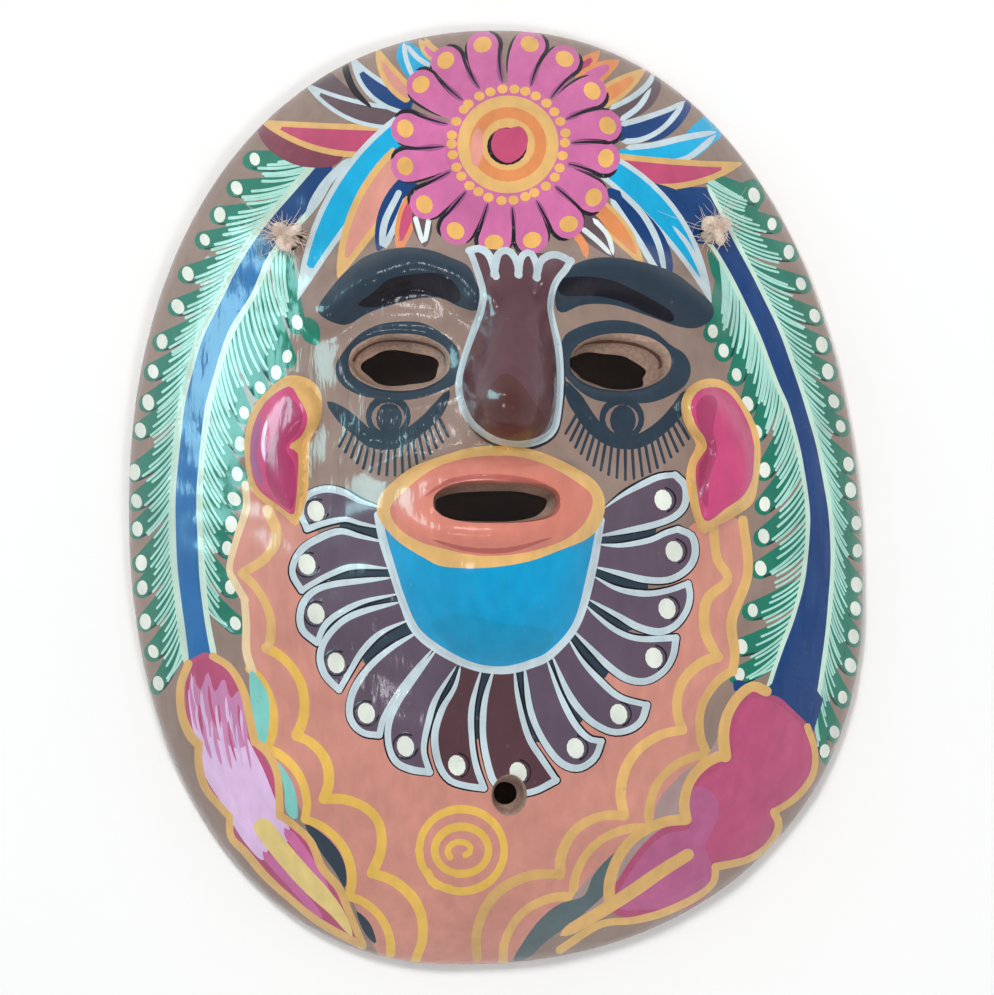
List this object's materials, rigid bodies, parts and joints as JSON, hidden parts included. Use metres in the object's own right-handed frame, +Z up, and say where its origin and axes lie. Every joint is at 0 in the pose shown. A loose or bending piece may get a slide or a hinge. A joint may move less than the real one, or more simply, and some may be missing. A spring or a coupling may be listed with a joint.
{
  "type": "folk art mask",
  "caption": "Painted clay folk art mask: a hollow oval shell with a raised face, cut eyes and mouth, and a knotted sisal hanging cord.",
  "frame": {"origin": "on the surface that the mask lies on, under the middle of its length and width", "axes": "+Z up, out of the face; +Y towards the crown of the head; +X towards the right side of the picture, which is the mask's own left"},
  "size_m": [0.2122, 0.27, 0.0822],
  "materials": {
    "painted_clay": "hand painted in bright colours and varnished on the front, bare fired clay behind",
    "sisal": "dull twisted plant fibre, frayed at the ends"
  },
  "bodies": {
    "root": {"mask_shell": "painted_clay", "hanging_cord": "sisal", "cord_knot_left": "sisal", "cord_knot_right": "sisal"}
  },
  "joints": []
}
